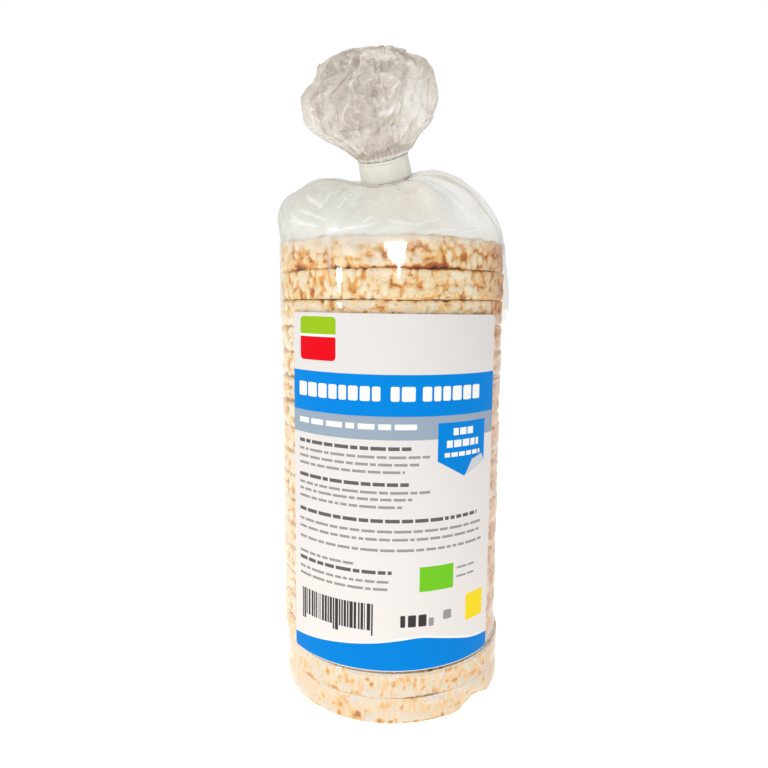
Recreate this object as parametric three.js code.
// A sealed pack of round puffed rice cakes. The cakes stand in one stack inside a clear film bag.
// The film is tight round the stack, puffs up into two shoulders, is gathered by a band of tape
// and ends in a crumpled tuft. A paper label is stuck on the front.
// Millimetres, +Z up. The label faces -Y, and the origin is the middle of the pack's foot.
// An angle round the pack is counted from the front, towards +X.
import * as THREE from "three";

// The stack of cakes under its tight film.
const CAKES = 18;
const FILM_RADIUS = 45.5;
const STACK_HEIGHT = 179.6;
const FOOT_CAKE = 10.3;
const SECOND_CAKE = 9.7;
const NEXT_TO_TOP_CAKE = 10.7;
const TOP_CAKE = 12;
const THICKNESS_SPREAD = 0.05; // share of a cake's thickness
const CAKE_WANDER = 0.3; // how far a cake slides out of line
const LOW_CAKES = 2; // these stand out of line, to the right and to the front
const LOW_SHIFT = new THREE.Vector2(1, -1);
const SEAM_DEPTH = 1.2; // the film's dip between two cakes
const SEAM_UNEVEN = 0.3; // share by which a dip is deeper on one side
const SEAM_LIP = 1.5; // height of the rounded lip over and under a seam
const PUFF_RELIEF = 0.5; // the puffed grains that press through the film
const FOOT_BEVEL = 0.5;

// The film sinks in under the rim of the lowest cake, which is broken on the front right.
const CHIP_MIDDLE = THREE.MathUtils.degToRad(46);
const CHIP_HALF_WIDTH = THREE.MathUtils.degToRad(15);
const CHIP_DEPTH = 2.6;
const CHIP_HEIGHT = 5.5;

// The film stands off the stack on the right, beside the label's upper half.
const LOOSE_MIDDLE = THREE.MathUtils.degToRad(84);
const LOOSE_HALF_WIDTH = THREE.MathUtils.degToRad(26);
const LOOSE_DEPTH = 2.2;
const LOOSE_HEIGHT = 157;
const LOOSE_HALF_HEIGHT = 24;

// The neck, where the tape gathers the film. It leans to the left and to the front.
const NECK = new THREE.Vector3(-3.4, -4, 209.5);
const NECK_LEAN_LEFT = THREE.MathUtils.degToRad(12);
const NECK_LEAN_FRONT = THREE.MathUtils.degToRad(25);
const NECK_RADIUS = 9.1;
const NECK_PLEATS = 16;
const NECK_PLEAT = 0.6;
const NECK_BELOW = 5.6; // the gathered stretch under and over its middle
const NECK_ABOVE = 4.6;

// The shoulders: how square they are on each side, and how far they stand over the neck.
const SQUARE_LEFT = 3.5;
const SQUARE_RIGHT = 1.95;
const SQUARE_FRONT = 2.2;
const OVER_NECK_LEFT = 3.2;
const OVER_NECK_RIGHT = 4.2;
const SHOULDER_BULGE = 2.2; // how far the left one stands out past the stack
const SHOULDER_PLEATS = 12;
const SHOULDER_PLEAT = 1.8; // how far they go down
const SHOULDER_PLEAT_IN = 0.6; // how far they go in, as a share of that
const SHOULDER_PLEATS_UNEVEN = 2; // how much closer together they lie on some sides, in radians

// The tuft: its left and right outlines, seen from the front, as [x, z] from the neck up.
const TUFT_LEFT = [
  [-20, 215.6],
  [-29.4, 219.3],
  [-33.4, 222.3],
  [-35.7, 226],
  [-36.4, 230.3],
  [-35.5, 233.9],
  [-32.2, 236.4],
  [-30.4, 239.8],
  [-29.6, 243.2],
  [-26.4, 245.6],
  [-20.5, 247.6],
  [-13, 248.6],
];
const TUFT_RIGHT = [
  [7.2, 216],
  [9.2, 219.2],
  [12, 222.4],
  [14.6, 226],
  [16.3, 232.5],
  [16.6, 240],
  [14.8, 244.6],
  [10, 247],
  [3.5, 248.2],
];
const TUFT_LEAN = 6.5; // how far its top stands in front of the neck
const TUFT_HALF_DEPTH = 15.5;
const TUFT_MOUTH_HALF_DEPTH = 8;
const TUFT_OPENS_BY = 0.4; // share of the way up at which it has lost the neck's round form
const RUFFLES = 8;
const RUFFLE_DEPTH = 0.16; // share of the distance to the tuft's middle
const CREASE_ANGLE = THREE.MathUtils.degToRad(-24);
const CREASE_HALF_WIDTH = THREE.MathUtils.degToRad(13);
const CREASE_DEPTH = 0.3; // share, as for the ruffles
const CRUMPLE = 0.8;
const MOUTH_DIP = 4;
const MOUTH_RING = 0.55; // share of the rim's width

// The band of tape, clear of the film by a gap.
const GAP = 0.3;
const TAPE_THICKNESS = 0.4;
const TAPE_HALF_WIDTH = 4;
const TAPE_TAPER = 0.3; // the band is narrower at its top edge
const TAPE_OVERLAP_STEP = 0.3;
const TAPE_OVERLAP_FROM = THREE.MathUtils.degToRad(120);
const TAPE_OVERLAP_TO = THREE.MathUtils.degToRad(200);

// The paper label, stuck on a little askew.
const LABEL_ARC = 87.1; // its width along the film
const LABEL_ASIDE = 1.05; // how far its middle is right of the front
const LABEL_FOOT = 20.95;
const LABEL_TOP = 152.05;
const LABEL_ROLL = THREE.MathUtils.degToRad(0.5); // clockwise
const LABEL_CORNER = 1.8;
const LABEL_THICKNESS = 0.4;

// How finely the surfaces are divided.
const SEGMENTS = 64;
const SHOULDER_RINGS = 8;
const TUFT_RINGS = 11;
const LABEL_COLUMNS = 32;
const LABEL_CORNER_COLUMNS = 3;
const LABEL_ROWS = 6;

const FULL_TURN = 2 * Math.PI;
const QUARTER_TURN = Math.PI / 2;

// Mulberry32: the same row of numbers between 0 and 1 in each run.
function seededNumbers(seed) {
  let state = seed;
  return () => {
    state = (state + 0x6d2b79f5) | 0;
    let mixed = Math.imul(state ^ (state >>> 15), 1 | state);
    mixed = (mixed + Math.imul(mixed ^ (mixed >>> 7), 61 | mixed)) ^ mixed;
    return ((mixed ^ (mixed >>> 14)) >>> 0) / 4294967296;
  };
}

const next = seededNumbers(CAKES);
const spread = (size) => size * (2 * next() - 1);
const lerp = THREE.MathUtils.lerp;

// 1 at turn 0 and each whole turn, 0 half way between them.
const crest = (turn) => 0.5 + 0.5 * Math.cos(turn);

// A round bump: 1 at the middle, 0 from half a width away.
function bump(value, middle, halfWidth) {
  const apart = Math.abs(value - middle) / halfWidth;
  return apart < 1 ? crest(Math.PI * apart) : 0;
}

// A bump over 0 to 1 with its top, 1, at three quarters.
const LATE_TOP = 0.75 ** 3 * (1 - 0.75);
const lateBump = (climb) => (climb ** 3 * (1 - climb)) / LATE_TOP;

// The angles round a ring, from the back by way of the left side, the front and the right side.
const ANGLES = Array.from(
  { length: SEGMENTS },
  (_, i) => -Math.PI + (i * FULL_TURN) / SEGMENTS,
);

// A closed surface through rings that are all divided alike, from the lowest ring to the highest.
function loft(rings, footMiddle, topMiddle) {
  const points = rings.flat();
  const faces = [];
  const at = (ring, i) => ring * SEGMENTS + (i % SEGMENTS);
  for (let ring = 0; ring + 1 < rings.length; ring++) {
    for (let i = 0; i < SEGMENTS; i++) {
      const [a, b] = [at(ring, i), at(ring, i + 1)];
      const [c, d] = [at(ring + 1, i + 1), at(ring + 1, i)];
      faces.push(a, b, c, a, c, d);
    }
  }
  const foot = points.push(footMiddle) - 1;
  const top = points.push(topMiddle) - 1;
  for (let i = 0; i < SEGMENTS; i++) {
    faces.push(foot, at(0, i + 1), at(0, i));
    faces.push(top, at(rings.length - 1, i), at(rings.length - 1, i + 1));
  }
  return geometryOf(points, faces);
}

function geometryOf(points, faces) {
  const geometry = new THREE.BufferGeometry().setFromPoints(points);
  geometry.setIndex(faces);
  geometry.computeVertexNormals();
  return geometry;
}

function thicknessesOfTheCakes() {
  const between = CAKES - 4;
  const left = STACK_HEIGHT - FOOT_CAKE - SECOND_CAKE - NEXT_TO_TOP_CAKE - TOP_CAKE;
  const raw = Array.from({ length: between }, () => 1 + spread(THICKNESS_SPREAD));
  const sum = raw.reduce((total, value) => total + value, 0);
  const middle = raw.map((value) => (value * left) / sum);
  return [FOOT_CAKE, SECOND_CAKE, ...middle, NEXT_TO_TOP_CAKE, TOP_CAKE];
}

// A ring of film round the stack at one height, dipped by what depthAt gives at each angle.
function stackRing(height, middle, depthAt) {
  return ANGLES.map((angle) => {
    const chip = bump(angle, CHIP_MIDDLE, CHIP_HALF_WIDTH);
    const chipped = CHIP_DEPTH * chip * Math.max(0, 1 - height / CHIP_HEIGHT);
    const beside = bump(angle, LOOSE_MIDDLE, LOOSE_HALF_WIDTH);
    const loose = LOOSE_DEPTH * beside * bump(height, LOOSE_HEIGHT, LOOSE_HALF_HEIGHT);
    const radius = FILM_RADIUS - CAKE_WANDER - depthAt(angle) - chipped + loose;
    return new THREE.Vector3(
      middle.x + radius * Math.sin(angle),
      middle.y - radius * Math.cos(angle),
      height,
    );
  });
}

function stackRings() {
  const rings = [];
  const puffed = () => PUFF_RELIEF * next();
  let height = 0;
  let below = LOW_SHIFT;
  for (const [index, thickness] of thicknessesOfTheCakes().entries()) {
    const slide = spread(Math.PI);
    const wander = CAKE_WANDER * next();
    const wandered = new THREE.Vector2(wander * Math.sin(slide), wander * Math.cos(slide));
    const middle = index < LOW_CAKES ? LOW_SHIFT : wandered;
    if (index === 0) {
      rings.push(stackRing(0, middle, () => FOOT_BEVEL + puffed()));
      rings.push(stackRing(FOOT_BEVEL / 2, middle, () => FOOT_BEVEL / 4 + puffed()));
    } else {
      const deepest = spread(Math.PI);
      const seam = (angle) => SEAM_DEPTH * (1 + SEAM_UNEVEN * Math.cos(angle - deepest));
      rings.push(stackRing(height, below.clone().lerp(middle, 0.5), seam));
    }
    rings.push(stackRing(height + Math.max(SEAM_LIP, index ? 0 : CHIP_HEIGHT / 2), middle, puffed));
    rings.push(stackRing(height + thickness - SEAM_LIP, middle, puffed));
    height += thickness;
    below = middle;
  }
  rings.push(stackRing(STACK_HEIGHT, below, () => PUFF_RELIEF));
  return rings;
}

// The neck's own directions: along it, to its right and to its front.
const NECK_ALONG = new THREE.Vector3(
  -Math.tan(NECK_LEAN_LEFT),
  -Math.tan(NECK_LEAN_FRONT),
  1,
).normalize();
const NECK_RIGHT = new THREE.Vector3(1, 0, 0).projectOnPlane(NECK_ALONG).normalize();
const NECK_FRONT = new THREE.Vector3().crossVectors(NECK_RIGHT, NECK_ALONG);

function neckPoint(angle, along, radius) {
  return NECK.clone()
    .addScaledVector(NECK_ALONG, along)
    .addScaledVector(NECK_RIGHT, radius * Math.sin(angle))
    .addScaledVector(NECK_FRONT, radius * Math.cos(angle));
}

const pleatedNeck = (angle, along) =>
  neckPoint(angle, along, NECK_RADIUS - NECK_PLEAT * crest(NECK_PLEATS * angle + Math.PI));

function shoulderSquareness(angle) {
  const side = Math.sin(angle);
  const towards = side < 0 ? SQUARE_LEFT : SQUARE_RIGHT;
  return lerp(SQUARE_FRONT, towards, side * side);
}

// A ring of the shoulders: climb is 0 at the stack's top edge and 1 at the neck.
function shoulderRing(climb, edge) {
  return ANGLES.map((angle, i) => {
    const power = 2 / shoulderSquareness(angle);
    const out = Math.cos(climb * QUARTER_TURN) ** power;
    const up = Math.sin(climb * QUARTER_TURN) ** power;
    const neck = pleatedNeck(angle, -NECK_BELOW);
    const point = edge[i].clone().lerp(neck, 1 - out);
    point.z = lerp(edge[i].z, neck.z, up);
    const overNeck = Math.sin(angle) < 0 ? OVER_NECK_LEFT : OVER_NECK_RIGHT;
    const over = overNeck * Math.sin(angle) ** 2 * lateBump(climb);
    const turn = SHOULDER_PLEATS * angle + SHOULDER_PLEATS_UNEVEN * Math.sin(2 * angle);
    const pleat = SHOULDER_PLEAT * Math.sin(Math.PI * climb) * crest(turn + Math.PI);
    const left = Math.max(0, -Math.sin(angle)) ** 2;
    const bulge = SHOULDER_BULGE * left * Math.sin(Math.PI * Math.min(1, 2 * climb));
    const outward = 1 + (bulge - SHOULDER_PLEAT_IN * pleat) / FILM_RADIUS;
    return new THREE.Vector3(point.x * outward, point.y * outward, point.z + over - pleat);
  });
}

function outlineThrough(start, corners) {
  const points = corners.map(([x, z]) => new THREE.Vector2(x, z));
  return new THREE.SplineCurve([new THREE.Vector2(start.x, start.z), ...points]);
}

const tuftLeft = outlineThrough(neckPoint(-QUARTER_TURN, NECK_ABOVE, NECK_RADIUS), TUFT_LEFT);
const tuftRight = outlineThrough(neckPoint(QUARTER_TURN, NECK_ABOVE, NECK_RADIUS), TUFT_RIGHT);

// A ring of the tuft: climb is 0 at the neck and 1 at the mouth.
function tuftRing(climb, shrink, dip) {
  const left = tuftLeft.getPointAt(climb);
  const right = tuftRight.getPointAt(climb);
  const start = NECK.y + NECK_ALONG.y * NECK_ABOVE;
  const middle = new THREE.Vector3((left.x + right.x) / 2, 0, (left.y + right.y) / 2 - dip);
  middle.y = start - TUFT_LEAN * Math.sin(climb * QUARTER_TURN);
  const toRight = new THREE.Vector3((right.x - left.x) / 2, 0, (right.y - left.y) / 2);
  const lean = NECK_LEAN_FRONT * (1 - climb) ** 2;
  const swell = (TUFT_HALF_DEPTH - (NECK_RADIUS + TUFT_MOUTH_HALF_DEPTH) / 2) * Math.sin(Math.PI * climb);
  const halfDepth = lerp(NECK_RADIUS, TUFT_MOUTH_HALF_DEPTH, climb) + swell;
  const toFront = new THREE.Vector3(0, -Math.cos(lean), -Math.sin(lean)).multiplyScalar(halfDepth);
  const opened = Math.sin(Math.min(1, climb / TUFT_OPENS_BY) * QUARTER_TURN);
  return ANGLES.map((angle) => {
    const ruffle = RUFFLE_DEPTH * crest(RUFFLES * (angle - QUARTER_TURN) + Math.PI);
    const crease = CREASE_DEPTH * bump(angle, CREASE_ANGLE, CREASE_HALF_WIDTH);
    const reach = shrink * (1 - opened * Math.max(ruffle, crease));
    const point = middle.clone();
    point.addScaledVector(toRight, reach * Math.sin(angle));
    point.addScaledVector(toFront, reach * Math.cos(angle));
    const crumple = CRUMPLE * opened * shrink;
    return point.add(new THREE.Vector3(spread(crumple), spread(crumple), spread(crumple)));
  });
}

function bagGeometry() {
  const rings = stackRings();
  const edge = rings.at(-1);
  for (let i = 1; i <= SHOULDER_RINGS; i++) rings.push(shoulderRing(i / (SHOULDER_RINGS + 1), edge));
  for (const along of [-NECK_BELOW, 0, NECK_ABOVE]) {
    rings.push(ANGLES.map((angle) => pleatedNeck(angle, along)));
  }
  for (let i = 1; i <= TUFT_RINGS; i++) rings.push(tuftRing(i / TUFT_RINGS, 1, 0));
  rings.push(tuftRing(1, MOUTH_RING, MOUTH_DIP / 2));
  const mouth = new THREE.Vector3();
  for (const point of rings.at(-1)) mouth.addScaledVector(point, 1 / SEGMENTS);
  mouth.z -= MOUTH_DIP / 2;
  return loft(rings, new THREE.Vector3(0, 0, 0), mouth);
}

// The band of tape: a thin ring, thicker where its end lies over its start.
function neckTieGeometry() {
  const points = [];
  const faces = [];
  for (const angle of ANGLES) {
    const inner = NECK_RADIUS + GAP;
    const turned = angle < 0 ? angle + FULL_TURN : angle;
    const doubled = turned > TAPE_OVERLAP_FROM && turned < TAPE_OVERLAP_TO;
    const outer = inner + TAPE_THICKNESS + (doubled ? TAPE_OVERLAP_STEP : 0);
    points.push(neckPoint(angle, -TAPE_HALF_WIDTH, inner));
    points.push(neckPoint(angle, -TAPE_HALF_WIDTH, outer + TAPE_TAPER));
    points.push(neckPoint(angle, TAPE_HALF_WIDTH, outer));
    points.push(neckPoint(angle, TAPE_HALF_WIDTH, inner));
  }
  for (let i = 0; i < SEGMENTS; i++) {
    const here = 4 * i;
    const there = 4 * ((i + 1) % SEGMENTS);
    for (let side = 0; side < 4; side++) {
      const after = (side + 1) % 4;
      faces.push(here + side, there + side, there + after);
      faces.push(here + side, there + after, here + after);
    }
  }
  return geometryOf(points, faces);
}

// Places along the label's width, close together in its round corners.
function labelColumns() {
  const half = LABEL_ARC / 2;
  const corner = Array.from({ length: LABEL_CORNER_COLUMNS }, (_, i) =>
    LABEL_CORNER * (1 - Math.cos((i * QUARTER_TURN) / LABEL_CORNER_COLUMNS)),
  );
  const straight = LABEL_ARC - 2 * LABEL_CORNER;
  const between = Array.from(
    { length: LABEL_COLUMNS + 1 },
    (_, i) => -straight / 2 + (i * straight) / LABEL_COLUMNS,
  );
  const left = corner.map((step) => -half + step);
  const right = corner.map((step) => half - step).reverse();
  return [...left, ...between, ...right];
}

// A place on the flat label, from its middle, turned askew and bent round the film.
function labelPoint(along, up, radius) {
  const place = new THREE.Vector2(along, up).rotateAround(new THREE.Vector2(), -LABEL_ROLL);
  const angle = (LABEL_ASIDE + place.x) / (FILM_RADIUS + GAP);
  const height = (LABEL_FOOT + LABEL_TOP) / 2 + place.y;
  return new THREE.Vector3(radius * Math.sin(angle), -radius * Math.cos(angle), height);
}

// The label: a sheet with round corners and its thickness.
function labelGeometry() {
  const halfWidth = LABEL_ARC / 2;
  const halfHeight = (LABEL_TOP - LABEL_FOOT) / 2;
  const columns = labelColumns();
  const inner = FILM_RADIUS + GAP;
  const points = [];
  for (const radius of [inner, inner + LABEL_THICKNESS]) {
    for (const along of columns) {
      const fromEdge = Math.min(LABEL_CORNER, halfWidth - Math.abs(along));
      const rounding = LABEL_CORNER - Math.sqrt(LABEL_CORNER ** 2 - (LABEL_CORNER - fromEdge) ** 2);
      const end = halfHeight - rounding;
      for (let row = 0; row <= LABEL_ROWS; row++) {
        points.push(labelPoint(along, lerp(-end, end, row / LABEL_ROWS), radius));
      }
    }
  }
  const rows = LABEL_ROWS + 1;
  const sheet = columns.length * rows;
  const at = (side, column, row) => side * sheet + column * rows + row;
  const faces = [];
  const quad = (a, b, c, d) => faces.push(a, b, c, a, c, d);
  const last = columns.length - 1;
  for (let i = 0; i < last; i++) {
    for (let j = 0; j < LABEL_ROWS; j++) {
      quad(at(1, i, j), at(1, i + 1, j), at(1, i + 1, j + 1), at(1, i, j + 1));
      quad(at(0, i, j), at(0, i, j + 1), at(0, i + 1, j + 1), at(0, i + 1, j));
    }
    quad(at(0, i, 0), at(0, i + 1, 0), at(1, i + 1, 0), at(1, i, 0));
    quad(at(1, i, LABEL_ROWS), at(1, i + 1, LABEL_ROWS), at(0, i + 1, LABEL_ROWS), at(0, i, LABEL_ROWS));
  }
  for (let j = 0; j < LABEL_ROWS; j++) {
    quad(at(0, 0, j), at(1, 0, j), at(1, 0, j + 1), at(0, 0, j + 1));
    quad(at(1, last, j), at(0, last, j), at(0, last, j + 1), at(1, last, j + 1));
  }
  return geometryOf(points, faces);
}

function named(name, geometry, color, roughness) {
  const material = new THREE.MeshStandardMaterial({ color, roughness, metalness: 0 });
  const mesh = new THREE.Mesh(geometry, material);
  mesh.name = name;
  return mesh;
}

const pack = new THREE.Group();
pack.add(
  named("bag", bagGeometry(), "#ecdcc0", 0.35),
  named("neck_tie", neckTieGeometry(), "#e4e0d8", 0.45),
  named("label", labelGeometry(), "#f1e8e2", 0.55),
);

export default pack;
